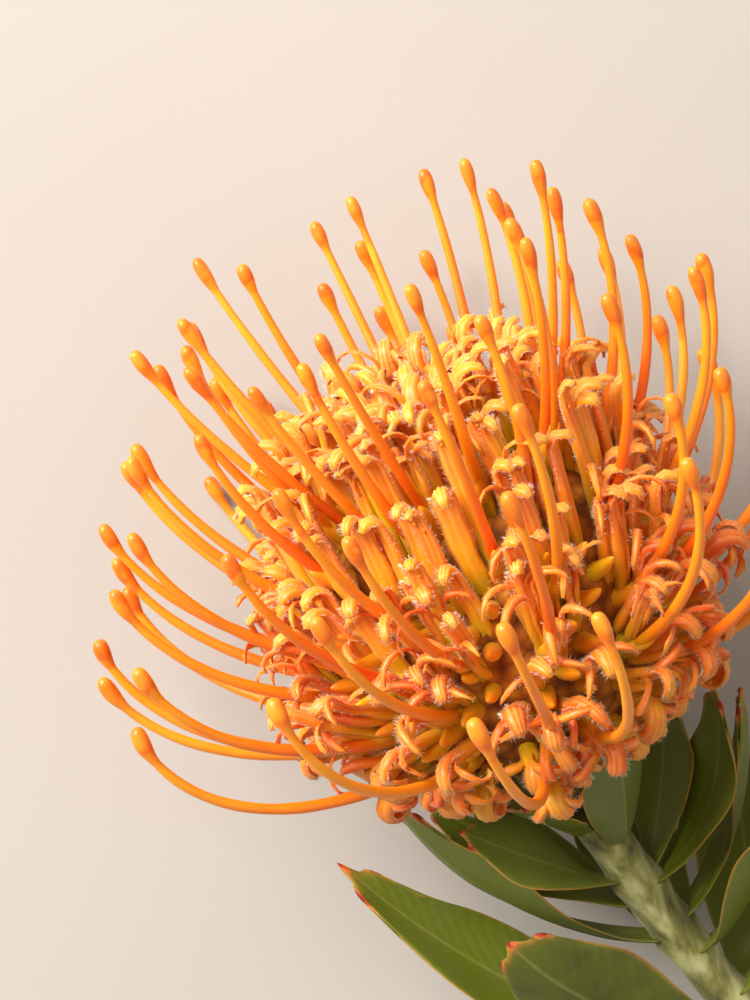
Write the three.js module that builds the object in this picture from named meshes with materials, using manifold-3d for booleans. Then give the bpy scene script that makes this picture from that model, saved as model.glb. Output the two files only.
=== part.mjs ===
// A pincushion protea: one cut flower head on its leafy stem, lying on a flat surface.
// All sizes are millimetres. Each piece is worked out on the upright flower, whose head stands on the
// origin with its axis along +Z. The whole flower is then laid down, +Z up and the head towards +Y.
import * as THREE from "three";
import { mergeVertices } from "three/addons/utils/BufferGeometryUtils.js";
import Module from "manifold-3d";

const DEG = Math.PI / 180;
const GOLDEN_ANGLE = 137.50776 * DEG;
const NODE_GAP = 0.3;

// How the flower lies: its axis rises from the cut end of the stem, and soft tips bend up off the surface.
const LIE_TILT = 16.2 * DEG;
const BEND_SOFTNESS = 0.8;
const PRESS_DEPTH = 0.15;

// Head core, a low dome on a fuller bowl, which the florets stand out of.
const CORE = { radius: 26, middle: 33, below: 31, above: 20, bowlPower: 2.5, bottom: 3, neck: 9, sides: 16 };

// Styles: where each is rooted, how it leaves the head and how its tip points, inner ones to outer ones.
const STYLES = {
  count: 75,
  seed: 1856,
  firstAzimuth: 73.2 * DEG,
  rootHeight: [31.2, 8.7],
  rootRadius: [4.4, 9.7],
  leaveAngle: [34.2 * DEG, 94.3 * DEG],
  tipAngle: [4.1 * DEG, 6.9 * DEG],
  length: [64, 65],
  lengthPower: 0.78,
  straighten: 0.62,
  lean: 3 * DEG,
  leanAzimuth: 130 * DEG,
  radius: 1,
  steps: 20,
};
const STYLE_SPREAD = { azimuth: 7 * DEG, leave: 5 * DEG, tip: 7 * DEG, length: 2.5 };
const STYLE_SECTION = 1.3;
const POLLEN_TIP = { length: 4.2, radius: 1.3, neck: 0.66, point: 0.35 };

// Perianth straps, one behind each style and a tuft on the crown: long over the crown, open curls on
// the flanks, tight coils underneath. Sizes are stalk, curl radius, turn and width.
const STRAPS = { tuft: 15, seed: 31, tuftAngle: 30 * DEG, sunk: 3, setBack: 3, thickness: 1.5 };
const CROWN = { stalk: 13, curl: 3.2, turn: 170 * DEG, width: 6.2 };
const FLANK = { stalk: 4.2, curl: 4.2, turn: 225 * DEG, width: 9.5 };
const UNDER = { stalk: 3, curl: 3.2, turn: 235 * DEG, width: 8.5 };
const STRAP_SWELL = [0.5, 0.8, 1, 1, 0.95, 0.8, 0.45];

// Involucre: overlapping bracts on a short cone between the stem and the head.
const INVOLUCRE = { top: CORE.bottom - NODE_GAP, height: 11, topRadius: 9.6, stemRadius: 4.4 };
const BRACTS = { rings: 2, perRing: 8, length: 8, width: 6, thickness: 1.1 };

// Stem: bends away under the head, bears the scars of shed leaves low down and ends in a plain cut.
const STEM = { length: 118, topRadius: 4.1, radius: 3.5, endRadius: 3.8, sides: 10, stations: 18 };
const SCARS = { count: 6, first: 70, last: 108, radius: 1.9, height: 0.9 };
const STEM_BEND = { slope: 0.27, softness: 24, bow: 2.5 };

// Leaves, top of the stem to bottom: height on the stem, azimuth, angle to the stem at the base and at
// the tip, sideways sweep, length, width, width of the tip (share), lengthwise fold and twist (degrees).
const LEAVES = [
  { z: -13, azimuth: -132, angle: [42, 46], sweep: 0, length: 19, width: 12, tip: 0.55, fold: 12, twist: -10 },
  { z: -17, azimuth: -66, angle: [34, 20], sweep: 10, length: 23, width: 13, tip: 0.6, fold: 24, twist: 0 },
  { z: -12, azimuth: 136, angle: [60, 54], sweep: 0, length: 18, width: 10, tip: 0.5, fold: 10, twist: 0 },
  { z: -21, azimuth: 92, angle: [52, 36], sweep: 0, length: 24, width: 12, tip: 0.5, fold: 14, twist: 0 },
  { z: -24, azimuth: -168, angle: [46, 40], sweep: -8, length: 26, width: 14, tip: 0.45, fold: 12, twist: -35 },
  { z: -25, azimuth: 30, angle: [39, 27], sweep: -8, length: 26, width: 14, tip: 0.5, fold: 12, twist: 15 },
  { z: -27, azimuth: -8, angle: [66, 10], sweep: 0, length: 34, width: 15, tip: 0.45, fold: 16, twist: 24 },
  { z: -30, azimuth: 156, angle: [50, 42], sweep: -6, length: 35, width: 14, tip: 0.5, fold: 12, twist: -25 },
  { z: -35, azimuth: 9, angle: [64, 14], sweep: 0, length: 37, width: 16, tip: 0.5, fold: 14, twist: -20 },
  { z: -37, azimuth: 179, angle: [62, 16], sweep: 0, length: 49, width: 16, tip: 0.45, fold: 14, twist: 32 },
  { z: -41, azimuth: -30, angle: [52, 40], sweep: 0, length: 34, width: 16, tip: 0.55, fold: 12, twist: -20 },
  { z: -43, azimuth: 100, angle: [36, 20], sweep: 0, length: 37, width: 16, tip: 0.5, fold: 14, twist: 0 },
  { z: -51, azimuth: -14, angle: [56, 44], sweep: 0, length: 38, width: 17, tip: 0.55, fold: 12, twist: -28 },
  { z: -54, azimuth: -148, angle: [62, 24], sweep: 0, length: 46, width: 19, tip: 0.62, fold: 18, twist: 52 },
  { z: -58, azimuth: 55, angle: [42, 26], sweep: 0, length: 43, width: 17, tip: 0.5, fold: 14, twist: 6 },
  { z: -64, azimuth: 179, angle: [57, 26], sweep: -12, length: 74, width: 18, tip: 0.4, fold: 14, twist: -25 },
];
const LEAF = { rows: 8, columns: 7, thickness: 0.8, base: 0.32, teeth: 0.035, round: 0.16 };

const mix = (a, b, t) => a + (b - a) * t;

// Evenly spread draws from -1 to 1, the same on every run.
function makeDraw(seed) {
  let state = seed;
  const draw = () => {
    state = (state * 48271) % 2147483647;
    return (2 * state) / 2147483647 - 1;
  };
  for (let i = 0; i < 3; i++) draw();
  return draw;
}

const wasm = await Module();
wasm.setup();

// A closed geometry as a solid that can be joined and cut.
function toSolid(geometry) {
  const bare = geometry.clone();
  bare.deleteAttribute("normal");
  bare.deleteAttribute("uv");
  const merged = mergeVertices(bare, 1e-4);
  return new wasm.Manifold(
    new wasm.Mesh({
      numProp: 3,
      vertProperties: new Float32Array(merged.attributes.position.array),
      triVerts: new Uint32Array(merged.index.array),
    }),
  );
}

function toGeometry(solid) {
  const mesh = solid.getMesh();
  const geometry = new THREE.BufferGeometry();
  geometry.setAttribute("position", new THREE.BufferAttribute(mesh.vertProperties, 3));
  geometry.setIndex(new THREE.BufferAttribute(mesh.triVerts, 1));
  return geometry;
}

// The largest body of a solid, without scraps and with its sealed hollows filled.
function outerBody(solid) {
  const bodies = toSolid(toGeometry(solid)).decompose();
  return bodies.reduce((best, other) => (other.volume() > best.volume() ? other : best));
}

// A closed skin over rings of equally many points, with flat ends. Each ring turns
// anticlockwise for someone whom the rings run towards.
function loft(rings) {
  const around = rings[0].length;
  const last = (rings.length - 1) * around;
  const index = [];
  for (let i = 0; i + 1 < rings.length; i++) {
    for (let j = 0; j < around; j++) {
      const a = i * around + j;
      const b = i * around + ((j + 1) % around);
      index.push(a, b, b + around, a, b + around, a + around);
    }
  }
  for (let j = 1; j + 1 < around; j++) {
    index.push(0, j + 1, j);
    index.push(last, last + j, last + j + 1);
  }
  const geometry = new THREE.BufferGeometry().setFromPoints(rings.flat());
  geometry.setIndex(index);
  return geometry;
}

// A closed blade between two grids of points, split into triangles alike on both faces.
function blade(top, bottom) {
  const rows = top.length;
  const columns = top[0].length;
  const under = rows * columns;
  const at = (i, j) => i * columns + j;
  const index = [];
  for (let i = 0; i + 1 < rows; i++) {
    for (let j = 0; j + 1 < columns; j++) {
      const [a, b, c, d] = [at(i, j), at(i + 1, j), at(i + 1, j + 1), at(i, j + 1)];
      index.push(a, b, c, a, c, d);
      index.push(under + a, under + c, under + b, under + a, under + d, under + c);
    }
  }
  const wall = (a, b) => index.push(a, b, under + b, a, under + b, under + a);
  for (let i = 0; i + 1 < rows; i++) {
    wall(at(i, columns - 1), at(i + 1, columns - 1));
    wall(at(i + 1, 0), at(i, 0));
  }
  for (let j = 0; j + 1 < columns; j++) {
    wall(at(0, j), at(0, j + 1));
    wall(at(rows - 1, j + 1), at(rows - 1, j));
  }
  const geometry = new THREE.BufferGeometry().setFromPoints([...top.flat(), ...bottom.flat()]);
  geometry.setIndex(index);
  return geometry;
}

// The stem's middle line at a height on the upright flower (below the head, so z is negative).
function stemPoint(z) {
  const across = STEM_BEND.slope * (Math.hypot(z, STEM_BEND.softness) - STEM_BEND.softness);
  const sag = STEM_BEND.bow * Math.sin((Math.PI * -z) / STEM.length);
  return new THREE.Vector3(across, sag, z);
}

function stemRadius(z) {
  const share = Math.min(1, -z / STEM.length);
  const neck = Math.exp((-share * STEM.length) / 12);
  return mix(STEM.radius, STEM.topRadius, neck) + (STEM.endRadius - STEM.radius) * share ** 3;
}

const stemLift = (STEM.endRadius - 2 * PRESS_DEPTH) * Math.cos(LIE_TILT);
const headHeight = STEM.length * Math.sin(LIE_TILT) + stemLift;
const lieDown = new THREE.Matrix4().makeRotationX(LIE_TILT - Math.PI / 2).setPosition(0, 0, headHeight);
const standUp = lieDown.clone().invert();

// Bends a point up along the surface where it would sink in, keeping its reach above it.
function bendOffSurface(point, reach) {
  const lying = point.clone().applyMatrix4(lieDown);
  const over = (lying.z - reach) / BEND_SOFTNESS;
  if (over < 30) lying.z = reach + BEND_SOFTNESS * Math.log1p(Math.exp(over));
  return lying.applyMatrix4(standUp);
}

// Takes off what is still below the surface, so that each touching piece has a small flat.
const slab = toSolid(new THREE.BoxGeometry(600, 600, 40).translate(0, 0, -20).applyMatrix4(standUp));
const trimmed = (solid) => solid.subtract(slab);

// A ring of points around a place, square to the way the piece runs there.
function ring(centre, along, side, radius, sides) {
  const across = side.clone().addScaledVector(along, -side.dot(along)).normalize();
  const third = along.clone().cross(across);
  return Array.from({ length: sides }, (_, j) => {
    const turn = (2 * Math.PI * j) / sides;
    const spoke = across.clone().multiplyScalar(Math.cos(turn)).addScaledVector(third, Math.sin(turn));
    return centre.clone().addScaledVector(spoke, radius);
  });
}

function directions(points) {
  return points.map((_, i) => {
    const before = points[Math.max(0, i - 1)];
    const after = points[Math.min(points.length - 1, i + 1)];
    return after.clone().sub(before).normalize();
  });
}

function coreRadius(z) {
  const inBowl = z < CORE.middle;
  const power = inBowl ? CORE.bowlPower : 2;
  const share = Math.abs(z - CORE.middle) / (inBowl ? CORE.below : CORE.above);
  return share < 1 ? CORE.radius * (1 - share ** power) ** (1 / power) : 0;
}

function core() {
  const steps = 10;
  const profile = [new THREE.Vector2(0, CORE.bottom), new THREE.Vector2(CORE.neck, CORE.bottom)];
  for (let i = 1; i <= steps; i++) {
    const z = mix(CORE.bottom, CORE.middle + CORE.above, Math.sin((Math.PI / 2) * (i / steps)));
    profile.push(new THREE.Vector2(i === steps ? 0 : coreRadius(z), z));
  }
  return new THREE.LatheGeometry(profile, CORE.sides).rotateX(Math.PI / 2);
}

// The middle line of one style: it leaves the head at an angle and straightens towards its tip.
function stylePath(number) {
  const draw = makeDraw(STYLES.seed * 7919 + number * 104729 + 1);
  const share = (number + 0.5) / STYLES.count;
  const azimuth = STYLES.firstAzimuth + number * GOLDEN_ANGLE + draw() * STYLE_SPREAD.azimuth;
  const opening = Math.acos(1 - share * (1 - Math.cos(STYLES.leaveAngle[1])));
  const leave = Math.max(STYLES.leaveAngle[0], opening) + draw() * STYLE_SPREAD.leave;
  const tip = mix(...STYLES.tipAngle, share ** 2) + draw() * STYLE_SPREAD.tip;
  const length = mix(...STYLES.length, share ** STYLES.lengthPower) + draw() * STYLE_SPREAD.length;
  const points = [];
  let out = mix(...STYLES.rootRadius, share);
  let up = mix(...STYLES.rootHeight, share);
  for (let i = 0; i <= STYLES.steps; i++) {
    const done = i / STYLES.steps;
    const lean = Math.tan(STYLES.lean) * length * 0.5 * done ** 2;
    const x = out * Math.cos(azimuth) + lean * Math.cos(STYLES.leanAzimuth);
    const y = out * Math.sin(azimuth) + lean * Math.sin(STYLES.leanAzimuth);
    points.push(new THREE.Vector3(x, y, up));
    const left = 1 - (i + 0.5) / STYLES.steps;
    const angle = tip + (leave - tip) * Math.max(0, left) ** STYLES.straighten;
    out += (Math.sin(angle) * length) / STYLES.steps;
    up += (Math.cos(angle) * length) / STYLES.steps;
  }
  return { points, azimuth, length };
}

// The first step of a style's middle line that is outside the core.
function leavesCore(points) {
  return points.findIndex((p) => Math.hypot(p.x, p.y) > coreRadius(p.z));
}

// One style with its knob, from just inside the core to the pointed end.
function style(number) {
  const { points, azimuth, length } = stylePath(number);
  const curve = new THREE.CatmullRomCurve3(points);
  const start = Math.max(0, leavesCore(points) - 1) / STYLES.steps;
  const neck = 1 - POLLEN_TIP.length / length;
  const shaftSteps = 6;
  const stations = [];
  for (let i = 0; i <= shaftSteps; i++) {
    const share = mix(start, neck, i / shaftSteps);
    stations.push([share, STYLES.radius * mix(1.1, POLLEN_TIP.neck, share ** 2)]);
  }
  stations.push([mix(neck, 1, 0.5), POLLEN_TIP.radius]);
  stations.push([1, POLLEN_TIP.point]);
  const bent = stations.map(([share, radius]) => {
    return bendOffSurface(curve.getPoint(share), radius - PRESS_DEPTH);
  });
  const along = directions(bent);
  const side = new THREE.Vector3(-Math.sin(azimuth), Math.cos(azimuth), 0);
  return loft(bent.map((p, i) => ring(p, along[i], side, stations[i][1] * STYLE_SECTION, 3)));
}

// One strap: it runs out along a direction, then curls back on itself. The middle of its outer
// face is raised to a rib.
function strap(root, away, back, form, draw) {
  const stalk = (form.stalk + STRAPS.sunk) * (1 + 0.2 * draw());
  const curl = form.curl * (1 + 0.15 * draw());
  const turn = form.turn * (1 + 0.12 * draw());
  const side = away.clone().cross(back).normalize();
  const curlSteps = STRAP_SWELL.length - 2;
  const rings = STRAP_SWELL.map((swell, i) => {
    const run = Math.max(0, i - 1) / curlSteps;
    const bend = turn * run;
    const radius = curl * (1 - 0.12 * run);
    const place = root
      .clone()
      .addScaledVector(away, (i ? stalk : 0) + radius * Math.sin(bend))
      .addScaledVector(back, curl - radius * Math.cos(bend));
    const outer = away.clone().multiplyScalar(Math.sin(bend)).addScaledVector(back, -Math.cos(bend));
    const half = (form.width * swell) / 2;
    return [
      place.clone().addScaledVector(side, half),
      place.clone().addScaledVector(outer, STRAPS.thickness),
      place.clone().addScaledVector(side, -half),
    ];
  });
  return loft(rings);
}

// How a strap is shaped at an angle from the top of the head.
function strapForm(polar) {
  const crown = Math.exp(-((polar / (40 * DEG)) ** 2));
  const under = 1 / (1 + Math.exp((100 * DEG - polar) / (7 * DEG)));
  const blend = (key) => mix(mix(FLANK[key], UNDER[key], under), CROWN[key], crown);
  return { stalk: blend("stalk"), curl: blend("curl"), turn: blend("turn"), width: blend("width") };
}

// The strap that stands behind one style.
function floretStrap(number) {
  const draw = makeDraw(STRAPS.seed * 7919 + number * 104729 + 1);
  const { points, azimuth } = stylePath(number);
  const exit = leavesCore(points);
  const away = directions(points)[exit];
  const side = new THREE.Vector3(-Math.sin(azimuth), Math.cos(azimuth), 0);
  const back = side.clone().cross(away).normalize();
  const polar = Math.atan2(Math.hypot(points[exit].x, points[exit].y), points[exit].z - CORE.middle);
  const root = points[exit].clone().addScaledVector(away, -STRAPS.sunk);
  root.addScaledVector(back, STRAPS.setBack);
  back.applyAxisAngle(away, draw() * 30 * DEG);
  return strap(root, away, back, strapForm(polar), draw);
}

// One strap of the tuft that closes the crown, where the innermost styles have left it open.
function tuftStrap(number) {
  const draw = makeDraw(STRAPS.seed * 15485863 + number * 104729 + 1);
  const share = (number + 0.5) / STRAPS.tuft;
  const polar = STRAPS.tuftAngle * Math.sqrt(share);
  const azimuth = number * GOLDEN_ANGLE;
  const outward = new THREE.Vector3(Math.cos(azimuth), Math.sin(azimuth), 0);
  const up = new THREE.Vector3(0, 0, 1);
  const away = up.clone().multiplyScalar(Math.cos(polar)).addScaledVector(outward, Math.sin(polar));
  const back = outward.clone().multiplyScalar(Math.cos(polar)).addScaledVector(up, -Math.sin(polar));
  back.applyAxisAngle(away, draw() * 30 * DEG);
  const out = Math.sin(polar) * CORE.radius;
  const high = CORE.middle + CORE.above * Math.sqrt(1 - (out / CORE.radius) ** 2);
  const root = outward.clone().multiplyScalar(out).addScaledVector(up, high - STRAPS.sunk);
  return strap(root, away, back, strapForm(polar), draw);
}

function flowerHead() {
  const pieces = [toSolid(core())];
  for (let i = 0; i < STYLES.count; i++) pieces.push(toSolid(style(i)));
  for (let i = 0; i < STYLES.count; i++) pieces.push(toSolid(floretStrap(i)));
  for (let i = 0; i < STRAPS.tuft; i++) pieces.push(toSolid(tuftStrap(i)));
  return toGeometry(outerBody(trimmed(wasm.Manifold.union(pieces))));
}

function involucre() {
  const { top, height, topRadius, stemRadius: foot } = INVOLUCRE;
  const profile = [
    new THREE.Vector2(0, top - height),
    new THREE.Vector2(foot, top - height),
    new THREE.Vector2(mix(foot, topRadius, 0.35), top - height * 0.55),
    new THREE.Vector2(topRadius * 0.86, top),
    new THREE.Vector2(0, top),
  ];
  const pieces = [toSolid(new THREE.LatheGeometry(profile, 12).rotateX(Math.PI / 2))];
  for (let level = 0; level < BRACTS.rings; level++) {
    for (let i = 0; i < BRACTS.perRing; i++) pieces.push(toSolid(bract(level, i)));
  }
  return toGeometry(outerBody(wasm.Manifold.union(pieces)));
}

// One bract: a pointed scale that lies along the cone, its tip standing a little off.
function bract(level, number) {
  const azimuth = ((number + 0.5 * (level % 2)) * 2 * Math.PI) / BRACTS.perRing;
  const outward = new THREE.Vector3(Math.cos(azimuth), Math.sin(azimuth), 0);
  const side = new THREE.Vector3(-Math.sin(azimuth), Math.cos(azimuth), 0);
  const up = new THREE.Vector3(0, 0, 1);
  const share = level / BRACTS.rings;
  const foot = mix(INVOLUCRE.stemRadius, INVOLUCRE.topRadius, share * 0.9) - 1.2;
  const low = mix(INVOLUCRE.top - INVOLUCRE.height, INVOLUCRE.top, share * 0.55) + 1.2;
  const shape = [[0, 0.7], [0.5, 1], [1, 0.1]];
  const rings = shape.map(([run, width]) => {
    const place = up.clone().multiplyScalar(low + run * BRACTS.length * 0.72);
    place.addScaledVector(outward, foot + run * BRACTS.length * 0.5);
    const half = (width * BRACTS.width) / 2;
    return [
      place.clone().addScaledVector(side, half),
      place.clone().addScaledVector(side, -half),
      place.clone().addScaledVector(outward, BRACTS.thickness).addScaledVector(up, -0.4),
    ];
  });
  return loft(rings);
}

function stem() {
  const top = INVOLUCRE.top - INVOLUCRE.height - NODE_GAP;
  const heights = Array.from({ length: STEM.stations }, (_, i) => {
    return mix(top, -STEM.length, i / (STEM.stations - 1));
  });
  const middle = heights.map(stemPoint);
  const along = directions(middle);
  along[0].set(0, 0, -1);
  const side = new THREE.Vector3(1, 0, 0);
  const rings = middle.map((p, i) => ring(p, along[i], side, stemRadius(heights[i]), STEM.sides));
  const pieces = [toSolid(loft(rings))];
  for (let i = 0; i < SCARS.count; i++) pieces.push(toSolid(leafScar(i)));
  return toGeometry(trimmed(wasm.Manifold.union(pieces)));
}

// The low cushion that a shed leaf leaves on the stem.
function leafScar(number) {
  const z = -mix(SCARS.first, SCARS.last, number / (SCARS.count - 1));
  const azimuth = number * GOLDEN_ANGLE;
  const outward = new THREE.Vector3(Math.cos(azimuth), Math.sin(azimuth), 0);
  const place = stemPoint(z).addScaledVector(outward, stemRadius(z) * 0.93);
  const bump = new THREE.SphereGeometry(SCARS.radius, 6, 4).rotateX(Math.PI / 2);
  bump.scale(SCARS.height / SCARS.radius, 1, 1).rotateZ(azimuth);
  return bump.translate(place.x, place.y, place.z);
}

// One leaf: narrow foot, broad blade, blunt toothed end, folded along its midrib.
function leaf(spec) {
  const azimuth = spec.azimuth * DEG;
  const up = new THREE.Vector3(0, 0, 1);
  const outwardAtFoot = new THREE.Vector3(Math.cos(azimuth), Math.sin(azimuth), 0);
  const clear = stemRadius(spec.z) + NODE_GAP + LEAF.thickness / 2;
  const place = stemPoint(spec.z).addScaledVector(outwardAtFoot, clear);
  const top = [];
  const bottom = [];
  for (let i = 0; i < LEAF.rows; i++) {
    const run = i / (LEAF.rows - 1);
    const facing = azimuth + spec.sweep * DEG * run;
    const outward = new THREE.Vector3(Math.cos(facing), Math.sin(facing), 0);
    const angle = mix(...spec.angle, run) * DEG;
    const along = outward.clone().multiplyScalar(Math.sin(angle)).addScaledVector(up, Math.cos(angle));
    if (i) place.addScaledVector(along, spec.length / (LEAF.rows - 1));
    const side = new THREE.Vector3(-Math.sin(facing), Math.cos(facing), 0);
    side.applyAxisAngle(along, spec.twist * DEG * Math.min(1, run * 2));
    const face = along.clone().cross(side);
    const breadth = mix(LEAF.base, 1, Math.sin(Math.min(1, run / 0.62) * Math.PI * 0.5) ** 1.2);
    const taper = run < 0.62 ? 1 : mix(spec.tip, 1, Math.cos(((run - 0.62) / 0.38) * Math.PI * 0.5));
    const half = (spec.width / 2) * breadth * taper;
    const rowTop = [];
    const rowBottom = [];
    for (let j = 0; j < LEAF.columns; j++) {
      const t = (2 * j) / (LEAF.columns - 1) - 1;
      const tooth = LEAF.teeth * (0.5 + 0.5 * Math.cos(3 * Math.PI * t)) * run ** 6;
      const shorten = LEAF.round * t * t * run ** 3;
      const fold = Math.tan(spec.fold * DEG) * (Math.hypot(t, 0.25) - 0.25);
      const point = place
        .clone()
        .addScaledVector(side, half * t)
        .addScaledVector(face, half * fold)
        .addScaledVector(along, (tooth - shorten) * spec.length);
      const middle = bendOffSurface(point, LEAF.thickness / 2 - PRESS_DEPTH);
      rowTop.push(middle.clone().addScaledVector(face, LEAF.thickness / 2));
      rowBottom.push(middle.clone().addScaledVector(face, -LEAF.thickness / 2));
    }
    top.push(rowTop);
    bottom.push(rowBottom);
  }
  return toGeometry(trimmed(toSolid(blade(top, bottom))));
}

const petalOrange = new THREE.MeshStandardMaterial({ color: 0xe8822a, roughness: 0.55 });
const bractGreen = new THREE.MeshStandardMaterial({ color: 0x8a7f45, roughness: 0.8 });
const stemGreen = new THREE.MeshStandardMaterial({ color: 0x9aa05a, roughness: 0.7 });
const leafGreen = new THREE.MeshStandardMaterial({ color: 0x6b7d3e, roughness: 0.6 });

const flower = new THREE.Group();

function addPiece(name, geometry, material) {
  geometry.computeVertexNormals();
  const mesh = new THREE.Mesh(geometry, material);
  mesh.name = name;
  flower.add(mesh);
}

addPiece("flower_head", flowerHead(), petalOrange);
addPiece("involucre", involucre(), bractGreen);
addPiece("stem", stem(), stemGreen);
LEAVES.forEach((spec, i) => addPiece("leaf_" + String(i + 1).padStart(2, "0"), leaf(spec), leafGreen));

// Laid down, with the origin on the surface under the middle of the flower's box.
flower.rotation.x = LIE_TILT - Math.PI / 2;
const box = new THREE.Box3().setFromObject(flower, true);
flower.position.set(-(box.min.x + box.max.x) / 2, -(box.min.y + box.max.y) / 2, -box.min.z);

export default flower;
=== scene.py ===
# %% [markdown]
# # A pincushion protea, cut and laid down
#
# The flower is a dome of about a hundred small florets on a woody stem. Each floret has one long
# orange style with a pollen knob on its end, and a perianth that has split open and rolled back
# into a ribbed, hairy curl. The solids of the frame give every place and reach; this scene dresses
# them with the fine forms. All shapes are worked out in millimetres on the upright flower, with
# the origin at the foot of the head and +Z up its axis, and one function then lays them down.

# %% The frame
import math

import bpy
import numpy as np

from mathutils import Matrix, Vector


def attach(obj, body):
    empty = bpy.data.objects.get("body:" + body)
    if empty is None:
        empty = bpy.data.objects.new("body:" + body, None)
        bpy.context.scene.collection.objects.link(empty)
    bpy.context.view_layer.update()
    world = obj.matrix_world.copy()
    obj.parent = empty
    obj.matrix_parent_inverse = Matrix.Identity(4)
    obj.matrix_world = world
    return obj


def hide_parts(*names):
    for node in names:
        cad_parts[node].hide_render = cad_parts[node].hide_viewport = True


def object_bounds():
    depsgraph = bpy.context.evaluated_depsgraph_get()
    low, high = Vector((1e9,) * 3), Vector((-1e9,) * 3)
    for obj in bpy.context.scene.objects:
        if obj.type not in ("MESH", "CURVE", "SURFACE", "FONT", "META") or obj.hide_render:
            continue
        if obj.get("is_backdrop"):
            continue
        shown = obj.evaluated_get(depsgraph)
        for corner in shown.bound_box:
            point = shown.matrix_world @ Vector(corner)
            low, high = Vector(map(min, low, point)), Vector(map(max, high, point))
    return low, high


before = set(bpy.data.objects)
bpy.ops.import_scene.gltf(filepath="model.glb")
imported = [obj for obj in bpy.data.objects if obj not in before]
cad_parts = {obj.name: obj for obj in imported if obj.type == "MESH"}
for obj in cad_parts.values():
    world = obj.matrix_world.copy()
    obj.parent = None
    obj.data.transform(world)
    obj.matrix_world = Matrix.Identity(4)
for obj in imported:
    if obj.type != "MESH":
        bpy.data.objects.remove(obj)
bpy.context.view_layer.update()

# %% [markdown]
# ## Where the flower lies
#
# The stem's upper end is a flat ring of known height on the upright flower, so its middle in the
# frame tells where the head's foot is. Two unit vectors then carry any upright point to its place:
# one along the head's axis, one from the axis straight towards the surface below.

# %% Laying the upright flower down
LIE_TILT = math.radians(16.2)
STEM_LENGTH, STEM_SLOPE, STEM_SOFTNESS, STEM_BOW = 118.0, 0.27, 24.0, 2.5
STEM_TOP = -8.6

along_head = np.array([0.0, math.cos(LIE_TILT), math.sin(LIE_TILT)])
to_surface = np.array([0.0, math.sin(LIE_TILT), -math.cos(LIE_TILT)])
sideways = np.array([1.0, 0.0, 0.0])


def stem_point(z):
    """The stem's middle line at each height z, which is negative below the head."""
    z = np.asarray(z, float)
    across = STEM_SLOPE * (np.hypot(z, STEM_SOFTNESS) - STEM_SOFTNESS)
    return np.stack([across, STEM_BOW * np.sin(np.pi * -z / STEM_LENGTH), z], axis=-1)


solid_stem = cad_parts["stem"].data
stem_corners = np.array([v.co for v in solid_stem.vertices]) * 1000
reach_up = stem_corners @ along_head
upper_ring = np.unique(stem_corners[reach_up > reach_up.max() - 0.05].round(3), axis=0)
top_middle = stem_point(STEM_TOP)
upright_frame = np.stack([sideways, to_surface, along_head])
head_foot = upper_ring.mean(axis=0) - top_middle @ upright_frame


def lie_down(points):
    """Upright millimetres to millimetres on the surface."""
    return head_foot + np.asarray(points) @ upright_frame


print("foot of the head at", head_foot.round(2), "mm from", len(upper_ring), "ring points")

# %% [markdown]
# ## What rests on the surface gives way
#
# Soft tips that would sink into the surface bend up along it instead. The same rule shaped the
# solids, so the styles under the head come out pressed along the same line.

# %% Bending soft tips off the surface
BEND_SOFTNESS, PRESS_DEPTH = 0.8, 0.15


def rest_on_surface(points, reach):
    """Lifts upright points so that they keep their reach above the surface, with a soft bend."""
    points = np.array(points, float)
    height = lie_down(points)[..., 2]
    lifted = reach + BEND_SOFTNESS * np.logaddexp(0, (height - reach) / BEND_SOFTNESS)
    points[..., 1] -= (lifted - height) * math.cos(LIE_TILT)
    points[..., 2] += (lifted - height) * math.sin(LIE_TILT)
    return points


def make_draw(seed):
    """Evenly spread numbers from -1 to 1, the same on every run."""
    state = seed

    def draw():
        nonlocal state
        state = state * 48271 % 2147483647
        return 2 * state / 2147483647 - 1

    for _ in range(3):
        draw()
    return draw


def mix(a, b, t):
    return a + (b - a) * t


def unit(v):
    return v / np.linalg.norm(v, axis=-1, keepdims=True)


def out_from_axis(azimuth):
    return np.array([math.cos(azimuth), math.sin(azimuth), 0.0])


def round_axis(azimuth):
    return np.array([-math.sin(azimuth), math.cos(azimuth), 0.0])


# %% [markdown]
# ## From rings of points to one mesh
#
# Nearly every part of the flower is a skin over a row of rings: a style, a strap, a hair, a stem.
# A modelling tool could sweep curves instead, but plain rings let each one have its own section,
# and every point can carry marks, such as how far along the style it lies. The finishes read the
# marks to colour the piece, so no picture is needed.

# %% Skins, and the function that makes a piece of them
CLEAR_OF_FLOOR = 0.03


def skin(rings, marks=None):
    """A skin over rings (rows, around, 3) of an even count, its ends closed by ladders of faces.
    Marks are one value for each point."""
    rows, around = rings.shape[:2]
    first = np.arange(rows - 1)[:, None] * around + np.arange(around)[None, :]
    following = np.arange(rows - 1)[:, None] * around + (np.arange(around)[None, :] + 1) % around
    quads = np.stack([first, following, following + around, first + around], axis=-1).reshape(-1, 4)
    k = np.arange(around // 2 - 1)
    ladder = np.stack([k, k + 1, around - 2 - k, around - 1 - k], axis=-1)
    quads = np.concatenate([quads, ladder[:, ::-1], ladder + (rows - 1) * around])
    marks = {name: np.broadcast_to(v, (rows, around)).reshape(-1) for name, v in (marks or {}).items()}
    return rings.reshape(-1, 3), quads, np.zeros((0, 3), int), marks


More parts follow.
